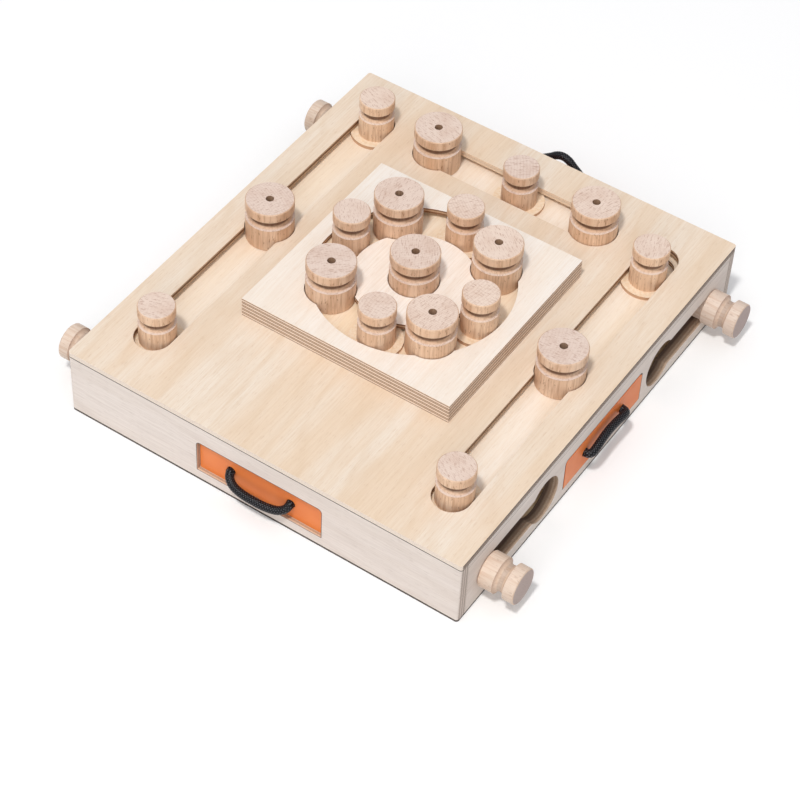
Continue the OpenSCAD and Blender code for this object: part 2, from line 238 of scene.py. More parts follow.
# A tight overhand knot at each end of a handle, with the short cut end of the rope
def makeKnots(sideName, finish):
    side = boxSides[sideName]
    inward = rope["faceOfDrawer"] - side["pull"] + rope["knotPlace"] + side["slack"] + knot["middle"]
    holeX, holeZ = rope["holeX"], rope["holeZ"]
    knots = []
    for hand in (-1, 1):
        line = []
        for k in range(knot["steps"]):
            t = 2 * math.pi * k / knot["steps"]
            x = (math.sin(t) + 2 * math.sin(2 * t)) * knot["size"] * hand
            z = (math.cos(t) - 2 * math.cos(2 * t)) * knot["size"]
            y = -math.sin(3 * t) * knot["size"] * knot["depth"]
            line.append(sidePoint(side, hand * holeX + x, inward + y, holeZ + z))
        endName = sideName + ("Right" if hand > 0 else "Left")
        knots.append(braidTube("ropeKnot_" + endName, line, knot["strand"], closed=True))
        start = sidePoint(side, hand * holeX, inward, holeZ)
        stopX, stopZ = hand * (holeX - knot["endAcross"]), holeZ - knot["endDrop"]
        stop = sidePoint(side, stopX, inward + knot["endLength"], stopZ)
        cut = [start.lerp(stop, k / knot["endSteps"]) for k in range(knot["endSteps"] + 1)]
        knots.append(braidTube("ropeEnd_" + endName, cut, rope["diameter"] * knot["endShare"]))
    for thing in knots:
        thing.data.materials.append(finish)
        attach(thing, "drawer_" + sideName)
        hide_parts("knots_" + sideName)
    return knots


def makeHandle(sideName, finish):
    side = boxSides[sideName]
    route = ropeRoute(side)
    line, length = smoothLine(route, rope["alongStep"])
    handle = braidTube("ropeHandle_" + sideName, line, rope["diameter"])
    handle.data.materials.append(finish)
    body = "drawer_" + sideName
    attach(handle, body)
    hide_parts("handle_" + sideName)
    return handle


# Shader helpers


def newGroup(name, inputs, outputs):
    tree = bpy.data.node_groups.new(name, "ShaderNodeTree")
    kinds = {"float": "NodeSocketFloat", "color": "NodeSocketColor", "vector": "NodeSocketVector"}
    for socketName, kind, value in inputs:
        socket = tree.interface.new_socket(name=socketName, in_out="INPUT", socket_type=kinds[kind])
        socket.default_value = value
    for socketName, kind in outputs:
        tree.interface.new_socket(name=socketName, in_out="OUTPUT", socket_type=kinds[kind])
    return tree, tree.nodes.new("NodeGroupInput"), tree.nodes.new("NodeGroupOutput")


def setIn(tree, socket, value):
    if isinstance(value, bpy.types.NodeSocket):
        tree.links.new(value, socket)
    elif value is not None:
        socket.default_value = value


def maths(tree, operation, a, b=None, c=None):
    node = tree.nodes.new("ShaderNodeMath")
    node.operation = operation
    setIn(tree, node.inputs[0], a)
    setIn(tree, node.inputs[1], b)
    setIn(tree, node.inputs[2], c)
    return node.outputs[0]


def combine(tree, x, y, z):
    node = tree.nodes.new("ShaderNodeCombineXYZ")
    for socket, value in zip(node.inputs, (x, y, z)):
        setIn(tree, socket, value)
    return node.outputs[0]


def separate(tree, vector):
    node = tree.nodes.new("ShaderNodeSeparateXYZ")
    setIn(tree, node.inputs[0], vector)
    return node.outputs


# The parts as one vector, the first ones stretched by the factors
def stretched(tree, parts, factors):
    done = [maths(tree, "MULTIPLY", part, factor) for part, factor in zip(parts, factors)]
    return combine(tree, *done, *parts[len(factors):])


def longSide(tree, a, b):
    squares = maths(tree, "ADD", maths(tree, "MULTIPLY", a, a), maths(tree, "MULTIPLY", b, b))
    return maths(tree, "SQRT", squares)


def noise(tree, vector, scale, detail=2.0, roughness=0.5):
    node = tree.nodes.new("ShaderNodeTexNoise")
    setIn(tree, node.inputs["Vector"], vector)
    setIn(tree, node.inputs["Scale"], scale)
    node.inputs["Detail"].default_value = detail
    node.inputs["Roughness"].default_value = roughness
    return node.outputs["Fac"]


def spread(tree, value, low, high, outLow=0.0, outHigh=1.0, smooth=True):
    node = tree.nodes.new("ShaderNodeMapRange")
    node.interpolation_type = "SMOOTHSTEP" if smooth else "LINEAR"
    setIn(tree, node.inputs[0], value)
    for k, limit in enumerate((low, high, outLow, outHigh)):
        setIn(tree, node.inputs[1 + k], limit)
    return node.outputs[0]


def mixColor(tree, part, a, b, blend="MIX"):
    node = tree.nodes.new("ShaderNodeMix")
    node.data_type = "RGBA"
    node.blend_type = blend
    setIn(tree, node.inputs[0], part)
    setIn(tree, node.inputs[6], a)
    setIn(tree, node.inputs[7], b)
    return node.outputs[2]


def placeGroup(tree, group, **values):
    node = tree.nodes.new("ShaderNodeGroup")
    node.node_tree = group
    for key, value in values.items():
        setIn(tree, node.inputs[key], value)
    return node


# A colour as seen on screen, 0 to 255, as a linear shader colour
def rgb(red, green, blue):
    def linear(v):
        v = v / 255
        return v / 12.92 if v <= 0.04045 else ((v + 0.055) / 1.055) ** 2.4
    return (linear(red), linear(green), linear(blue), 1.0)


# Shared effects

# Noise steps to the metre; pairs are across and along the grain
veneerGrain = {
    "wander": (9, 4),
    "wanderBy": 0.03,
    "bandAlong": 2.2,
    "trunkSlope": 0.16,
    "trunkRings": 95,
    "squash": (24, 5),
    "squashBy": 7.0,
    "fibre": (760, 26),
    "pore": (1250, 150),
    "poreLimits": (0.58, 0.72),
}


# Flat-cut veneer whose grain runs along the vector's Y
def makeVeneerGroup():
    tree, given, out = newGroup(
        "veneerGrain",
        [("Vector", "vector", (0, 0, 0)), ("Band Width", "float", 0.045), ("Seed", "float", 0.0)],
        [("Band", "float"), ("Flame", "float"), ("Fibre", "float"), ("Pore", "float")],
    )
    x, y = separate(tree, given.outputs["Vector"])[:2]
    seed = given.outputs["Seed"]
    place = (x, y, seed)
    wander = noise(tree, stretched(tree, place, veneerGrain["wander"]), 1.0, 2)
    shifted = maths(tree, "MULTIPLY_ADD", wander, veneerGrain["wanderBy"], x)
    across = maths(tree, "DIVIDE", shifted, given.outputs["Band Width"])
    along = maths(tree, "MULTIPLY", y, veneerGrain["bandAlong"])
    band = noise(tree, combine(tree, across, along, seed), 1.0, 3, 0.55)
    # long flames: rings of a trunk cut lengthwise
    trunk = maths(tree, "MULTIPLY_ADD", y, veneerGrain["trunkSlope"], shifted)
    rings = maths(tree, "MULTIPLY", trunk, veneerGrain["trunkRings"])
    squash = noise(tree, stretched(tree, place, veneerGrain["squash"]), 1.0, 3, 0.6)
    rings = maths(tree, "MULTIPLY_ADD", squash, veneerGrain["squashBy"], rings)
    flame = maths(tree, "PINGPONG", rings, 1.0)
    fibre = noise(tree, stretched(tree, place, veneerGrain["fibre"]), 1.0, 4, 0.72)
    pore = noise(tree, stretched(tree, place, veneerGrain["pore"]), 1.0, 2, 0.5)
    pore = spread(tree, pore, *veneerGrain["poreLimits"])
    for key, value in (("Band", band), ("Flame", flame), ("Fibre", fibre), ("Pore", pore)):
        tree.links.new(value, out.inputs[key])
    return tree


plyEdge = {
    "jitter": 60,
    "jitterBy": 0.00022,
    "crossLimits": (0.50, 0.72),
    "glueAt": 0.6,
    "fibre": 1100,
}


# Stripes of a plywood edge. Depth runs through the layers, Along lies in the edge
def makePlyGroup():
    tree, given, out = newGroup(
        "plyEdge",
        [
            ("Depth", "float", 0.0), ("Along", "vector", (0, 0, 0)), ("Ply", "float", 0.0015),
            ("Glue Width", "float", 0.12),
        ],
        [("Cross", "float"), ("Glue", "float"), ("Fibre", "float")],
    )
    jitter = maths(tree, "SUBTRACT", noise(tree, given.outputs["Along"], plyEdge["jitter"], 2), 0.5)
    depth = maths(tree, "MULTIPLY_ADD", jitter, plyEdge["jitterBy"], given.outputs["Depth"])
    count = maths(tree, "DIVIDE", depth, given.outputs["Ply"])
    half = maths(tree, "PINGPONG", maths(tree, "SUBTRACT", count, 0.5), 1.0)
    cross = spread(tree, half, *plyEdge["crossLimits"])
    edge = maths(tree, "ABSOLUTE", maths(tree, "SUBTRACT", half, plyEdge["glueAt"]))
    glue = spread(tree, edge, 0.0, given.outputs["Glue Width"], 1.0, 0.0)
    fibre = noise(tree, given.outputs["Along"], plyEdge["fibre"], 3, 0.6)
    for key, value in (("Cross", cross), ("Glue", glue), ("Fibre", fibre)):
        tree.links.new(value, out.inputs[key])
    return tree


# Noise steps to the metre, along the dowel's own X, Y and Z where there are several
turnedWood = {
    "heartAway": 0.075,
    "bend": 55,
    "bendBy": 0.003,
    "cloud": 70,
    "endFleck": (260, 1150),
    "endFleckLimits": (0.50, 0.68),
    "sideFleck": (880, 880, 250),
    "sideFleckLimits": (0.60, 0.74),
    "fibre": (620, 620, 40),
}


# Turned dowel with its axis along Z: long fibres on the side, growth lines on the ends
def makeTurnedGroup():
    tree, given, out = newGroup(
        "turnedWood",
        [
            ("Vector", "vector", (0, 0, 0)), ("Turn", "float", 0.0), ("Seed", "float", 0.0),
            ("Spacing", "float", 0.0021),
        ],
        [("Rings", "float"), ("Fleck", "float"), ("Fibre", "float"), ("Cloud", "float"), ("Pith", "float")],
    )
    spin = tree.nodes.new("ShaderNodeVectorRotate")
    spin.rotation_type = "Z_AXIS"
    tree.links.new(given.outputs["Vector"], spin.inputs["Vector"])
    tree.links.new(given.outputs["Turn"], spin.inputs["Angle"])
    x, y, z = separate(tree, spin.outputs[0])
    seed = given.outputs["Seed"]
    section = combine(tree, x, y, seed)
    # growth rings of a trunk whose heart lies well outside the dowel
    far = maths(tree, "ADD", x, turnedWood["heartAway"])
    bend = maths(tree, "SUBTRACT", noise(tree, section, turnedWood["bend"], 2), 0.5)
    bend = maths(tree, "MULTIPLY", bend, turnedWood["bendBy"])
    rings = maths(tree, "ADD", longSide(tree, far, y), bend)
    rings = maths(tree, "FRACT", maths(tree, "DIVIDE", rings, given.outputs["Spacing"]))
    pith = noise(tree, stretched(tree, (x, y, seed), turnedWood["endFleck"]), 1.0, 4, 0.75)
    pith = spread(tree, pith, *turnedWood["endFleckLimits"])
    fleck = noise(tree, stretched(tree, (x, y, z), turnedWood["sideFleck"]), 1.0, 2, 0.5)
    fleck = spread(tree, fleck, *turnedWood["sideFleckLimits"])
    fibre = noise(tree, stretched(tree, (x, y, z), turnedWood["fibre"]), 1.0, 3, 0.6)
    cloud = noise(tree, section, turnedWood["cloud"], 2)
    made = (("Rings", rings), ("Fleck", fleck), ("Fibre", fibre), ("Cloud", cloud), ("Pith", pith))
    for key, value in made:
        tree.links.new(value, out.inputs[key])
    return tree


# Faint marks of use: slow patches of warmer and duller surface
def makeHandledGroup():
    tree, given, out = newGroup(
        "handledSurface",
        [("Vector", "vector", (0, 0, 0)), ("Size", "float", 14.0)],
        [("Patch", "float")],
    )
    patch = noise(tree, given.outputs["Vector"], given.outputs["Size"], 3, 0.6)
    tree.links.new(patch, out.inputs["Patch"])
    return tree


veneerGroup = makeVeneerGroup()
plyGroup = makePlyGroup()
turnedGroup = makeTurnedGroup()
handledGroup = makeHandledGroup()
print("shared effects made")

# Finishes


def newFinish(name):
    finish = bpy.data.materials.new(name)
    finish.use_nodes = True
    tree = finish.node_tree
    return finish, tree, tree.nodes["Principled BSDF"]


def objectPlace(tree):
    return tree.nodes.new("ShaderNodeTexCoord").outputs["Object"]


# How far the surface faces along X, Y and Z, each from 0 to 1
def faceNormal(tree):
    parts = separate(tree, tree.nodes.new("ShaderNodeTexCoord").outputs["Normal"])
    return [maths(tree, "ABSOLUTE", part) for part in parts]


def addBump(tree, shader, height, strength, distance):
    bump = tree.nodes.new("ShaderNodeBump")
    bump.inputs["Strength"].default_value = strength
    bump.inputs["Distance"].default_value = distance
    tree.links.new(height, bump.inputs["Height"])
    tree.links.new(bump.outputs[0], shader.inputs["Normal"])


# Shared by all the plywood; lengths in metres
plywood = {
    "outerLimits": (0.0016, 0.0012),
    "poreDepth": -0.6,
    "glueDepth": -0.5,
    "faceRoughness": 0.55,
    "edgeRoughness": 0.72,
    "specular": 0.35,
    "bump": 0.35,
    "bumpDistance": 0.0002,
    "seamHalf": 0.0004,
    "levelSoftness": 0.0002,
}


# Face veneer: returns its colour and the height for its bump
def veneerColor(tree, place, look, seed=0.0):
    x, y, z = separate(tree, place)
    if look["upright"]:
        vector = combine(tree, z, maths(tree, "ADD", x, y), 0.0)
    else:
        vector = combine(tree, x, y, 0.0)
    grain = placeGroup(tree, veneerGroup, Vector=vector, Seed=seed, **{"Band Width": look["bandWidth"]})
    band = spread(tree, grain.outputs["Band"], 0.32, 0.68)
    color = mixColor(tree, band, look["light"], look["warm"])
    flame = spread(tree, grain.outputs["Flame"], 0.55, 1.0, 0.0, look["flame"])
    color = mixColor(tree, flame, color, look["deep"])
    fibre = spread(tree, grain.outputs["Fibre"], 0.35, 0.7, 0.0, look["fibre"])
    color = mixColor(tree, fibre, color, look["deep"])
    pore = maths(tree, "MULTIPLY", grain.outputs["Pore"], look["pore"])
    color = mixColor(tree, pore, color, look["poreColor"])
    used = placeGroup(tree, handledGroup, Vector=place)
    patch = spread(tree, used.outputs["Patch"], 0.45, 0.75, 0.0, look["patch"])
    color = mixColor(tree, patch, color, look["deep"])
    pore, depth = grain.outputs["Pore"], plywood["poreDepth"]
    return color, maths(tree, "MULTIPLY_ADD", pore, depth, grain.outputs["Fibre"])


# 0 inside the board and 1 on its outer edges, with half the board's size along X and along Y
def outerMasks(tree, x, y, halfX, halfY, centreY=0.0):
    deep, shallow = plywood["outerLimits"]
    fromX = maths(tree, "ABSOLUTE", x)
    fromY = maths(tree, "ABSOLUTE", maths(tree, "SUBTRACT", y, centreY))
    onX = spread(tree, fromX, halfX - deep, halfX - shallow)
    onY = spread(tree, fromY, halfY - deep, halfY - shallow)
    return onX, onY


# Cut walls are brown from the cutter's burn, and the side slots' walls darken inwards with painted shade;
# outer edges are sanded light
def edgeColor(tree, depth, place, look):
    x, y, z = separate(tree, place)
    sideways = maths(tree, "ABSOLUTE", x)
    width = {"Glue Width": look["glueWidth"]}
    edge = placeGroup(tree, plyGroup, Depth=depth, Along=place, Ply=look["ply"], **width)
    glue = maths(tree, "MULTIPLY", edge.outputs["Glue"], look["glueShare"])
    cut = mixColor(tree, edge.outputs["Cross"], look["cutLight"], look["cutDark"])
    cut = mixColor(tree, maths(tree, "MULTIPLY", glue, look["cutLines"]), cut, look["glue"])
    if "shadeFrom" in look:
        # the side slots' walls darken from the outer edge inwards: painted shade of the slot's inside, with
        # a little burn from the cutter
        inward = maths(tree, "SUBTRACT", look["shadeFrom"], sideways)
        slotShade = spread(tree, inward, *look["shadeDepth"], 0.0, look["shadeShare"])
        inSlot = spread(tree, maths(tree, "ABSOLUTE", y), *look["shadeBeyond"])
        cut = mixColor(tree, maths(tree, "MULTIPLY", slotShade, inSlot), cut, look["burnAndShade"])
    if "paleBehind" in look:
        # the back track's long walls are given a paler colour than the other cut walls
        behind = spread(tree, y, look["paleBehind"], look["paleBehind"] + 0.003)
        behind = maths(tree, "MULTIPLY", behind, look["paleShare"])
        middle = spread(tree, sideways, *look["paleWithin"], 1.0, 0.0)
        cut = mixColor(tree, maths(tree, "MULTIPLY", behind, middle), cut, look["pale"])
    color = cut
    if "outer" in look:
        onX, onY = outerMasks(tree, x, y, *look["outer"])
        sanded = mixColor(tree, edge.outputs["Cross"], look["edgeLight"], look["edgeDark"])
        faint = maths(tree, "MULTIPLY", glue, spread(tree, onY, 0.0, 1.0, 1.0, look["frontLines"]))
        sanded = mixColor(tree, faint, sanded, look["glue"])
        if "frontEdge" in look:
            sanded = mixColor(tree, onY, sanded, look["frontEdge"])
        if "joint" in look:
            # a dark line along the joint below, and one on the upper arris of the sides
            line = spread(tree, z, look["joint"] + 0.0005, look["joint"] + 0.0008, 1.0, 0.0)
            sanded = mixColor(tree, line, sanded, look["jointColor"])
            onlyX = maths(tree, "MULTIPLY", onX, maths(tree, "SUBTRACT", 1.0, onY))
            arris = spread(tree, z, look["arris"] - 0.0003, look["arris"])
            sanded = mixColor(tree, maths(tree, "MULTIPLY", arris, onlyX), sanded, look["jointColor"])
        color = mixColor(tree, maths(tree, "MAXIMUM", onX, onY), cut, sanded)
    color = mixColor(tree, spread(tree, edge.outputs["Fibre"], 0.4, 0.75, 0.0, 0.22), color, look["glue"])
    lines, depth = edge.outputs["Glue"], plywood["glueDepth"]
    return color, maths(tree, "MULTIPLY_ADD", lines, depth, edge.outputs["Fibre"])


# A thin dark rim around a drawer's opening, with the distance across the board and the height: painted
# shade of the gap round the drawer, and the cutter's dark edge
def openingRimShade(tree, across, height, look):
    wide, low, high, corner = look["opening"]
    middle, half = (low + high) / 2, (high - low) / 2
    # only the upper corners are rounded
    bend = spread(tree, height, middle, high - corner, 0.0, corner, smooth=False)
    right = maths(tree, "ADD", maths(tree, "SUBTRACT", maths(tree, "ABSOLUTE", across), wide), bend)
    up = maths(tree, "ABSOLUTE", maths(tree, "SUBTRACT", height, middle))
    up = maths(tree, "ADD", maths(tree, "SUBTRACT", up, half), bend)
    outside = longSide(tree, maths(tree, "MAXIMUM", right, 0.0), maths(tree, "MAXIMUM", up, 0.0))
    inside = maths(tree, "MINIMUM", maths(tree, "MAXIMUM", right, up), 0.0)
    distance = maths(tree, "ADD", outside, maths(tree, "SUBTRACT", inside, bend))
    return spread(tree, distance, *look["rimLimits"], look["rimShadeShare"], 0.0)


# Plywood: veneer on the faces across the axis called through, striped edges elsewhere
def plywoodFinish(name, look, through, seed=0.0, top=None):
    finish, tree, shader = newFinish(name)
    place = objectPlace(tree)
    parts = separate(tree, place)
    size = faceNormal(tree)
    axis = "XYZ".index(through)
    face, faceHeight = veneerColor(tree, place, look, seed)
    if top:
        # faces below this height belong to another sheet
        lower = veneerColor(tree, place, top["look"], seed + 5)[0]
        soft = plywood["levelSoftness"]
        isLow = spread(tree, parts[2], top["z"] + soft, top["z"] - soft, smooth=False)
        face = mixColor(tree, isLow, face, lower)
    if "opening" in look:
        # the dark rim is painted shade of the gap round the drawer, and the cutter's dark edge
        across = parts[1 if through == "X" else 0]
        face = mixColor(tree, openingRimShade(tree, across, parts[2], look), face, look["rimShadeColor"])
    for height, share in look.get("seams", ()):
        away = maths(tree, "ABSOLUTE", maths(tree, "SUBTRACT", parts[2], height))
        seam = spread(tree, away, 0.0, plywood["seamHalf"], share, 0.0)
        face = mixColor(tree, seam, face, look["glue"])
    depth = maths(tree, "SUBTRACT", parts[axis], look["start"])
    side, sideHeight = edgeColor(tree, depth, place, look)
    onFace = spread(tree, size[axis], 0.6, 0.8)
    color = mixColor(tree, onFace, side, face)
    tree.links.new(color, shader.inputs["Base Color"])
    edgeGrey, faceGrey = ((v, v, v, 1) for v in (plywood["edgeRoughness"], plywood["faceRoughness"]))
    tree.links.new(mixColor(tree, onFace, edgeGrey, faceGrey), shader.inputs["Roughness"])
    shader.inputs["Specular IOR Level"].default_value = plywood["specular"]
    height = tree.nodes.new("ShaderNodeMix")
    height.data_type = "FLOAT"
    tree.links.new(onFace, height.inputs[0])
    tree.links.new(sideHeight, height.inputs[2])
    tree.links.new(faceHeight, height.inputs[3])
    addBump(tree, shader, height.outputs[0], plywood["bump"], plywood["bumpDistance"])
    return finish


# A board's corner that is lowest on every axis, and where its first ply starts
def lowCorner(name):
    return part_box(name)[0]


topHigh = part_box("top_sheet")[1]
topStart = lowCorner("top_sheet")[2]
channelStart = lowCorner("channel_board")[2]
raisedLow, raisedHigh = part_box("raised_base")
raisedHalfX, raisedHalfY = ((raisedHigh[axis] - raisedLow[axis]) / 2 for axis in (0, 1))
raisedCentreY = (raisedHigh[1] + raisedLow[1]) / 2

# Lengths and places are in metres, in the frame
anyVeneer = {
    "upright": False, "glueShare": 0.6, "glueWidth": 0.12, "cutLines": 1.0, "frontLines": 1.0,
    "cutLight": rgb(206, 172, 138), "cutDark": rgb(150, 110, 80),
}
palerBackTrack = {"paleShare": 0.8, "paleWithin": (0.078, 0.082), "pale": rgb(250, 230, 206)}
topVeneer = {
    **anyVeneer, **palerBackTrack, "paleBehind": 0.108,
    "light": rgb(239, 226, 211), "warm": rgb(234, 212, 188), "deep": rgb(219, 191, 160),
    "poreColor": rgb(200, 166, 134), "bandWidth": 0.03, "flame": 0.22, "fibre": 0.42, "pore": 0.28,
    "patch": 0.2, "ply": 0.0015, "start": topStart, "outer": topHigh[:2], "glue": rgb(74, 54, 46),
    "glueShare": 1.0, "glueWidth": 0.32, "frontLines": 0.0, "frontEdge": rgb(243, 227, 212),
    "edgeLight": rgb(212, 194, 180), "edgeDark": rgb(176, 154, 138),
    "joint": topStart, "arris": topHigh[2] - 0.0008, "jointColor": rgb(46, 33, 28),
}
raisedVeneer = {
    **anyVeneer,
    "light": rgb(247, 241, 235), "warm": rgb(244, 232, 219), "deep": rgb(230, 208, 186),
    "poreColor": rgb(212, 184, 158), "bandWidth": 0.05, "flame": 0.16, "fibre": 0.36, "pore": 0.22,
    "patch": 0.15, "ply": 0.0015, "start": raisedLow[2] + 0.0005,
    "outer": (raisedHalfX, raisedHalfY, raisedCentreY),
    "edgeLight": rgb(250, 230, 212), "edgeDark": rgb(226, 197, 170),
    "cutLight": rgb(210, 178, 146), "cutDark": rgb(164, 122, 90),
    "glue": rgb(98, 60, 42), "glueShare": 1.0, "glueWidth": 0.28,
}
floorVeneer = {
    **anyVeneer, **palerBackTrack, "paleBehind": 0.102,
    "light": rgb(250, 238, 225), "warm": rgb(247, 228, 205), "deep": rgb(229, 202, 171),
    "poreColor": rgb(206, 172, 138), "bandWidth": 0.03, "flame": 0.14, "fibre": 0.34, "pore": 0.2,
    "patch": 0.12, "ply": 0.00125, "start": lowCorner("floor_board")[2], "glue": rgb(92, 64, 48),
}
ringVeneer = dict(
    floorVeneer, light=rgb(252, 237, 217), warm=rgb(247, 224, 192), deep=rgb(228, 194, 156), bandWidth=0.02,
)
discVeneer = dict(raisedVeneer, light=rgb(255, 249, 242), warm=rgb(253, 242, 231))
sideVeneer = {
    **anyVeneer, "upright": True,
    "light": rgb(240, 229, 221), "warm": rgb(233, 220, 210), "deep": rgb(212, 197, 187),
    "poreColor": rgb(190, 172, 160), "bandWidth": 0.02, "flame": 0.16, "fibre": 0.42, "pore": 0.3,
    "patch": 0.15, "ply": 0.00121, "glue": rgb(84, 62, 52), "glueWidth": 0.2, "cutLines": 0.45,
    # half the opening's width, its lowest and highest points and its upper corners' radius
    "opening": (0.048, 0.009, 0.035, 0.003),
    # the rim below is painted shade of the gap round the drawer, and the cutter's dark edge
    "rimLimits": (0.0003, 0.0006), "rimShadeShare": 0.9, "rimShadeColor": rgb(50, 36, 30),
}
endVeneer = dict(
    sideVeneer, outer=(topHigh[0], 0.5), glueShare=0.8,  # only the ends across X are outer edges
    edgeLight=rgb(228, 214, 204), edgeDark=rgb(206, 188, 176),
    cutLight=rgb(222, 198, 174), cutDark=rgb(196, 164, 136),
)
slotVeneer = dict(
    # the darkest colour here and its limits are painted shade deep inside the side slots, with a little
    # burn from the cutter
    sideVeneer, cutLight=rgb(204, 178, 154), cutDark=rgb(186, 157, 133), burnAndShade=rgb(72, 52, 41),
    shadeFrom=topHigh[0], shadeDepth=(0.0018, 0.0072), shadeShare=0.85, shadeBeyond=(0.049, 0.052),
    seams=((channelStart, 0.75), (channelStart + 0.002, 0.5)),  # heights and strengths
)
# a darker copy of the floor veneer for the parts inside the box: painted shade
innerShadedVeneer = dict(
    floorVeneer, light=rgb(222, 198, 166), warm=rgb(210, 182, 146), deep=rgb(184, 152, 116),
)
channelVeneer = dict(floorVeneer, ply=0.0013, start=channelStart)
ringLevel = 0.0645  # between the ring's floor and the raised base's top

finishOf = {
    "top_sheet": plywoodFinish("topSheetPly", topVeneer, "Z"),
    "channel_board": plywoodFinish("channelPly", channelVeneer, "Z", seed=2.0),
    "floor_board": plywoodFinish("trackFloorPly", floorVeneer, "Z", seed=3.0),
    "raised_base": plywoodFinish(
        "raisedBasePly", raisedVeneer, "Z", seed=4.0, top={"look": ringVeneer, "z": ringLevel}
    ),
    "raised_plate": plywoodFinish("raisedPlatePly", raisedVeneer, "Z", seed=6.0),
    "raised_disc": plywoodFinish("raisedDiscPly", discVeneer, "Z", seed=7.0),
    "bottom_board": plywoodFinish("bottomPly", innerShadedVeneer, "Z", seed=12.0),
}
walls = (
    ("front", endVeneer, "Y"), ("back", endVeneer, "Y"),
    ("left", slotVeneer, "X"), ("right", slotVeneer, "X"),
)
for k, (sideName, veneerLook, through) in enumerate(walls):
    board = sideName + "_board"
    wallLook = dict(veneerLook, start=lowCorner(board)["XYZ".index(through)])
    finishOf[board] = plywoodFinish(sideName + "Ply", wallLook, through, seed=8.0 + k)
railVeneer = dict(innerShadedVeneer, upright=True, ply=0.0014)
for sideName, axis in (("front", "X"), ("back", "X"), ("left", "Y"), ("right", "Y")):
    railFinish = plywoodFinish("railPly_" + sideName, railVeneer, axis, seed=13.0)
    for end in "ab":
        finishOf["rail_" + sideName + "_" + end] = railFinish
print("plywood finishes made")

# Turned beech: one finish for each peg, so that no two have the same grain
beech = {
    "side": rgb(243, 212, 184),
    "sideWarm": rgb(224, 183, 149),
    "sidePale": rgb(236, 224, 214),
    "fibre": rgb(206, 166, 134),
    "fleck": rgb(168, 126, 98),
    "cap": rgb(232, 211, 197),
    "capLine": rgb(204, 170, 150),
    "capFleck": rgb(182, 144, 124),
    "groove": rgb(214, 180, 152),
    # the dark colour below is painted shade in the groove's bottom and the scent hole, with a little burn
    # from the tool
    "burnAndShade": rgb(92, 58, 40),
    "flange": rgb(244, 224, 200),
    "flangeWarm": rgb(236, 208, 174),
    # the grey colour and share below are painted shade on a knob's outer end
    "knobEndShade": rgb(176, 163, 168),
    "knobEndShadeShare": 0.55,
    "lineSharpness": 2.2,
    # the groove's darkening below is painted shade under the cap, with some darker cross-cut grain
    "grooveShadeShare": 0.35,
    "grooveDepth": 0.0032,
    "holeLimits": (0.0045, 0.0055),
    "holeShare": 0.6,
    "sideRoughness": 0.52,
    "endRoughness": 0.7,
    "specular": 0.35,
    "fleckDepth": -0.7,
    "pithDepth": -0.4,
    "bump": 0.35,
    "bumpDistance": 0.0002,
}


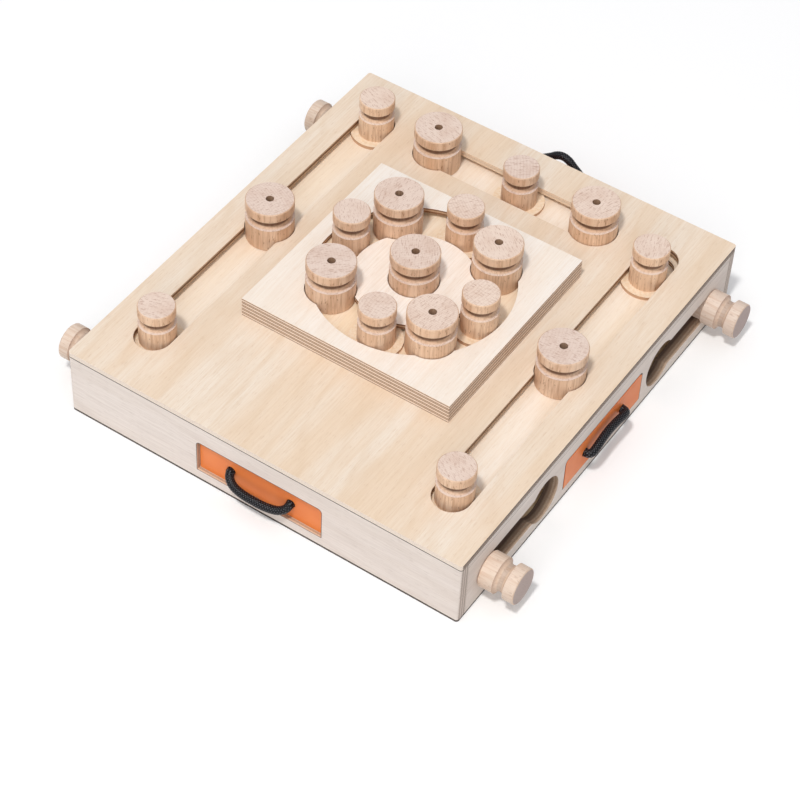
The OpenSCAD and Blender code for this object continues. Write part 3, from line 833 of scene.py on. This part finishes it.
# Beech with the dowel's axis upright, or along X when lying
def beechFinish(name, centre, look):
    finish, tree, shader = newFinish(name)
    shift = tree.nodes.new("ShaderNodeMapping")
    tree.links.new(objectPlace(tree), shift.inputs["Vector"])
    shift.inputs["Location"].default_value = [-c for c in centre]
    local = shift.outputs[0]
    x, y, z = separate(tree, local)
    if look["lying"]:
        local = combine(tree, y, z, x)
    radial = longSide(tree, y, z) if look["lying"] else longSide(tree, x, y)
    wood = placeGroup(
        tree, turnedGroup, Vector=local, Turn=look["turn"], Seed=look["seed"], Spacing=look["spacing"]
    )
    fibre, cloud = wood.outputs["Fibre"], wood.outputs["Cloud"]
    across = faceNormal(tree)[0 if look["lying"] else 2]
    onEnd = spread(tree, across, 0.75, 0.95)
    side = mixColor(tree, spread(tree, cloud, 0.3, 0.7), beech["side"], beech["sideWarm"])
    side = mixColor(tree, look["pale"], side, beech["sidePale"])
    side = mixColor(tree, spread(tree, fibre, 0.42, 0.66, 0.0, look["grain"]), side, beech["fibre"])
    fleck = maths(tree, "MULTIPLY", wood.outputs["Fleck"], look["grain"])
    side = mixColor(tree, fleck, side, beech["fleck"])
    # growth lines: pale early wood that darkens slowly to a thin line
    line = maths(tree, "POWER", spread(tree, wood.outputs["Rings"], 0.25, 1.0), beech["lineSharpness"])
    strength = spread(tree, cloud, 0.25, 0.6, look["lines"] * 0.4, look["lines"])
    cap = mixColor(tree, maths(tree, "MULTIPLY", line, strength), beech["cap"], beech["capLine"])
    cap = mixColor(tree, maths(tree, "MULTIPLY", wood.outputs["Pith"], 0.8), cap, beech["capFleck"])
    cap = mixColor(tree, spread(tree, cloud, 0.4, 0.75, 0.0, 0.3), cap, beech["capLine"])
    # the groove is darker where it slopes: painted shade under the cap, with some darker cross-cut grain
    slant = maths(tree, "MULTIPLY", spread(tree, across, 0.12, 0.6), beech["grooveShadeShare"])
    side = mixColor(tree, slant, side, beech["groove"])
    # the groove's bottom is darkened, and the scent hole a little less: painted shade, with a little burn
    # from the tool
    bottom = look["radius"] - beech["grooveDepth"]
    bottomShade = spread(tree, radial, bottom + 0.0001, bottom + 0.0006, look["grooveBottomShade"], 0.0)
    inHole = spread(tree, radial, *beech["holeLimits"], beech["holeShare"], 1.0)
    side = mixColor(tree, maths(tree, "MULTIPLY", bottomShade, inHole), side, beech["burnAndShade"])
    if look["lying"]:
        # a knob's outer end is painted greyer than the shoulders of its groove: painted shade of the end,
        # which the lamp hardly reaches
        endAt = look["endAt"]
        outer = spread(tree, maths(tree, "ABSOLUTE", x), endAt, endAt + 0.0005, 0.0, beech["knobEndShadeShare"])
        cap = mixColor(tree, outer, mixColor(tree, 0.4, cap, beech["groove"]), beech["knobEndShade"])
    color = mixColor(tree, onEnd, side, cap)
    tint = (look["tone"], look["tone"], look["tone"] * look["warmth"], 1.0)
    color = mixColor(tree, 1.0, color, tint, "MULTIPLY")
    if look["flangeTop"]:
        # the flange is a disc of thin plywood, as pale as the track floor
        flangeTop = look["flangeTop"]
        onFlange = spread(tree, z, flangeTop + 0.00012, flangeTop + 0.00002, smooth=False)
        disc = mixColor(tree, spread(tree, fibre, 0.35, 0.7), beech["flange"], beech["flangeWarm"])
        disc = mixColor(tree, onEnd, beech["fibre"], disc)
        color = mixColor(tree, onFlange, color, disc)
    tree.links.new(color, shader.inputs["Base Color"])
    rough = spread(tree, onEnd, 0.0, 1.0, beech["sideRoughness"], beech["endRoughness"], smooth=False)
    tree.links.new(rough, shader.inputs["Roughness"])
    shader.inputs["Specular IOR Level"].default_value = beech["specular"]
    height = maths(tree, "MULTIPLY_ADD", wood.outputs["Fleck"], beech["fleckDepth"], fibre)
    height = maths(tree, "MULTIPLY_ADD", wood.outputs["Pith"], beech["pithDepth"], height)
    addBump(tree, shader, height, beech["bump"], beech["bumpDistance"])
    return finish


# What tells knobs from pegs
pegKinds = {
    # the share after lying in each is painted shade in the groove's bottom, with a little burn from the
    # tool
    "knob": {"lying": True, "grooveBottomShade": 0.3, "grain": 0.4, "pale": 0.6, "tone": 0.88},
    "peg": {"lying": False, "grooveBottomShade": 0.8, "grain": 0.78, "pale": 0.0, "tone": 0.95},
}
# Each value starts at the first number and spreads over the second as the third adds up
pegRanges = {
    "warmth": (0.985, 0.03, 0.381966),
    "spacing": (0.0012, 0.0012, 0.754878),
    "lines": (0.10, 0.35, 0.569840),
}
pegs = {
    "smallRadius": 0.0125,
    "largeRadius": 0.01665,
    "flangeOver": 0.0345,
    "flangeThickness": 0.0026,
    "toneRange": 0.075,
    "toneStep": 0.618034,
    "turnStep": 2.399963,  # the golden angle keeps neighbours apart
    "seedStep": 1.7,
    "endInset": 0.002,
}


# The look of one peg or knob, from its place in the row and its own size
def pegLook(name, k, low, high, centre):
    kind = pegKinds["knob" if name.startswith("knob_") else "peg"]
    width = high[0] - low[0]
    hasFlange = width > pegs["flangeOver"] and not kind["lying"]
    look = {key: start + span * ((k * step) % 1.0) for key, (start, span, step) in pegRanges.items()}
    look.update(kind)
    look["tone"] = kind["tone"] + pegs["toneRange"] * ((k * pegs["toneStep"]) % 1.0)
    look["turn"] = (k * pegs["turnStep"]) % (2 * math.pi)
    look["seed"] = k * pegs["seedStep"]
    look["radius"] = pegs["smallRadius"] if hasFlange or kind["lying"] else pegs["largeRadius"]
    look["endAt"] = width / 2 - pegs["endInset"]
    look["flangeTop"] = low[2] - centre[2] + pegs["flangeThickness"] if hasFlange else 0.0
    return look


pegNames = sorted(name for name in nodes if name.startswith(("peg_", "ring_peg_", "knob_")))
for k, name in enumerate(pegNames):
    low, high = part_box(name)
    centre = [(a + b) / 2 for a, b in zip(low, high)]
    finishOf[name] = beechFinish("beech_" + name, centre, pegLook(name, k, low, high, centre))
print("beech finishes made:", len(pegNames))

drawerLook = {
    "color": rgb(243, 136, 65),
    "worn": rgb(236, 126, 58),
    "wearSize": 22.0,
    "roughness": (0.37, 0.50),
    "grain": 1400,
    "bump": 0.12,
    "bumpDistance": 0.0001,
}


def drawerFinish():
    finish, tree, shader = newFinish("orangeDrawer")
    place = objectPlace(tree)
    patch = placeGroup(tree, handledGroup, Vector=place, Size=drawerLook["wearSize"]).outputs["Patch"]
    color = mixColor(tree, spread(tree, patch, 0.35, 0.7), drawerLook["color"], drawerLook["worn"])
    tree.links.new(color, shader.inputs["Base Color"])
    tree.links.new(spread(tree, patch, 0.3, 0.7, *drawerLook["roughness"]), shader.inputs["Roughness"])
    grain = noise(tree, place, drawerLook["grain"], 2)
    addBump(tree, shader, grain, drawerLook["bump"], drawerLook["bumpDistance"])
    return finish


ropeLook = {
    "dark": rgb(4, 4, 7),
    "pale": rgb(14, 14, 18),
    # the crowns' light colour below is a painted highlight
    "paintedGlint": rgb(106, 106, 114),
    "paintedGlintFrom": 0.84,
    "thread": 4200,
    "roughness": 0.3,
    "specular": 0.28,
    "bump": 0.4,
    "bumpDistance": 0.0001,
}


# Black braid whose strands' crowns are painted light: painted highlights standing in for glints
def ropeFinish():
    finish, tree, shader = newFinish("blackBraid")
    thread = noise(tree, objectPlace(tree), ropeLook["thread"], 2, 0.6)
    color = mixColor(tree, spread(tree, thread, 0.35, 0.75), ropeLook["dark"], ropeLook["pale"])
    crown = tree.nodes.new("ShaderNodeAttribute")
    crown.attribute_name = "crown"
    # painted highlight on each strand's crown
    paintedGlint = spread(tree, crown.outputs["Fac"], ropeLook["paintedGlintFrom"], 1.0)
    color = mixColor(tree, paintedGlint, color, ropeLook["paintedGlint"])
    tree.links.new(color, shader.inputs["Base Color"])
    shader.inputs["Roughness"].default_value = ropeLook["roughness"]
    shader.inputs["Specular IOR Level"].default_value = ropeLook["specular"]
    addBump(tree, shader, thread, ropeLook["bump"], ropeLook["bumpDistance"])
    return finish


sheetLook = {
    "dark": rgb(48, 38, 34),
    "pale": rgb(84, 68, 58),
    "mottle": 240,
    "roughness": 0.7,
    "bump": 0.2,
    "bumpDistance": 0.0002,
}


def darkSheetFinish():
    finish, tree, shader = newFinish("darkSheet")
    mottle = noise(tree, objectPlace(tree), sheetLook["mottle"], 3, 0.6)
    color = mixColor(tree, mottle, sheetLook["dark"], sheetLook["pale"])
    tree.links.new(color, shader.inputs["Base Color"])
    shader.inputs["Roughness"].default_value = sheetLook["roughness"]
    addBump(tree, shader, mottle, sheetLook["bump"], sheetLook["bumpDistance"])
    return finish


orange = drawerFinish()
blackBraid = ropeFinish()
finishOf["base_sheet"] = darkSheetFinish()
for sideName in boxSides:
    finishOf["tray_" + sideName] = orange

for name, finish in finishOf.items():
    data = nodes[name].data
    data.materials.clear()
    data.materials.append(finish)
print("finishes set on", len(finishOf), "nodes")

handles = [makeHandle(sideName, blackBraid) for sideName in boxSides]
knots = [thing for sideName in boxSides for thing in makeKnots(sideName, blackBraid)]
print("rope handles made:", len(handles), "with", len(knots), "pieces of knots")

# Floor and light

studio = {
    "floorSize": 6.0,
    "floor": 0.80,
    "floorSeen": 0.97,
    "floorGlow": 0.02,
    "skyTop": 0.88,
    "skyEdge": 0.25,
    "skyColor": (0.95, 0.965, 1.0, 1.0),
    "keyAzimuth": 9.0,
    "keyElevation": 66.0,
    "keyDistance": 5.2,
    "keySize": 0.56,
    "keyPower": 124.0,
    "keyColor": (1.0, 0.985, 0.96),
    "fillAzimuth": 22.0,
    "fillElevation": 34.0,
    "fillDistance": 5.2,
    "fillSize": 3.2,
    "fillPower": 52.0,
    "fillColor": (1.0, 0.985, 0.97),
}


def makeFloor():
    half = studio["floorSize"] / 2
    mesh = bpy.data.meshes.new("studioFloor")
    corners = [(-half, -half, 0), (half, -half, 0), (half, half, 0), (-half, half, 0)]
    mesh.from_pydata(corners, [], [(0, 1, 2, 3)])
    thing = bpy.data.objects.new("studioFloor", mesh)
    bpy.context.scene.collection.objects.link(thing)
    finish, tree, shader = newFinish("studioFloorPaint")
    rays = tree.nodes.new("ShaderNodeLightPath")
    seen = maths(tree, "MAXIMUM", rays.outputs["Is Camera Ray"], rays.outputs["Is Glossy Ray"])
    seen = maths(tree, "MAXIMUM", seen, rays.outputs["Is Transmission Ray"])
    low, high = studio["floor"], studio["floorSeen"]
    color = mixColor(tree, seen, (low, low, low, 1), (high, high, high, 1))
    tree.links.new(color, shader.inputs["Base Color"])
    shader.inputs["Roughness"].default_value = 1.0
    shader.inputs["Specular IOR Level"].default_value = 0.0
    shader.inputs["Emission Color"].default_value = (1.0, 1.0, 1.0, 1.0)
    tree.links.new(maths(tree, "MULTIPLY", seen, studio["floorGlow"]), shader.inputs["Emission Strength"])
    mesh.materials.append(finish)


def makeWorld():
    world = bpy.data.worlds.new("studioWorld")
    world.use_nodes = True
    tree = world.node_tree
    tree.nodes.clear()
    out = tree.nodes.new("ShaderNodeOutputWorld")
    rays = tree.nodes.new("ShaderNodeLightPath")
    seen = maths(tree, "MAXIMUM", rays.outputs["Is Camera Ray"], rays.outputs["Is Transmission Ray"])
    # brighter overhead than at the horizon
    height = separate(tree, tree.nodes.new("ShaderNodeTexCoord").outputs["Generated"])[2]
    dim = tree.nodes.new("ShaderNodeBackground")
    dim.inputs["Color"].default_value = studio["skyColor"]
    squared = maths(tree, "MULTIPLY", height, height)
    strength = spread(tree, squared, 0.0, 1.0, studio["skyEdge"], studio["skyTop"], smooth=False)
    tree.links.new(strength, dim.inputs["Strength"])
    white = tree.nodes.new("ShaderNodeBackground")
    white.inputs["Strength"].default_value = 1.0
    mix = tree.nodes.new("ShaderNodeMixShader")
    tree.links.new(seen, mix.inputs[0])
    tree.links.new(dim.outputs[0], mix.inputs[1])
    tree.links.new(white.outputs[0], mix.inputs[2])
    tree.links.new(mix.outputs[0], out.inputs["Surface"])
    bpy.context.scene.world = world


def makeLamp(name, azimuth, elevation, distance, size, power, color):
    a, e = math.radians(azimuth), math.radians(elevation)
    back = Vector((math.sin(a) * math.cos(e), -math.cos(a) * math.cos(e), math.sin(e)))
    data = bpy.data.lights.new(name, "AREA")
    data.shape = "DISK"
    data.size = size
    data.energy = power
    data.color = color
    thing = bpy.data.objects.new(name, data)
    thing.location = back * distance
    thing.rotation_euler = back.to_track_quat("Z", "Y").to_euler()
    bpy.context.scene.collection.objects.link(thing)


makeFloor()
makeWorld()
lampValues = ("Azimuth", "Elevation", "Distance", "Size", "Power", "Color")
for lamp in ("key", "fill"):
    makeLamp(lamp + "Light", *(studio[lamp + value] for value in lampValues))
bpy.context.scene.view_settings.view_transform = "Standard"
print("floor and light made")
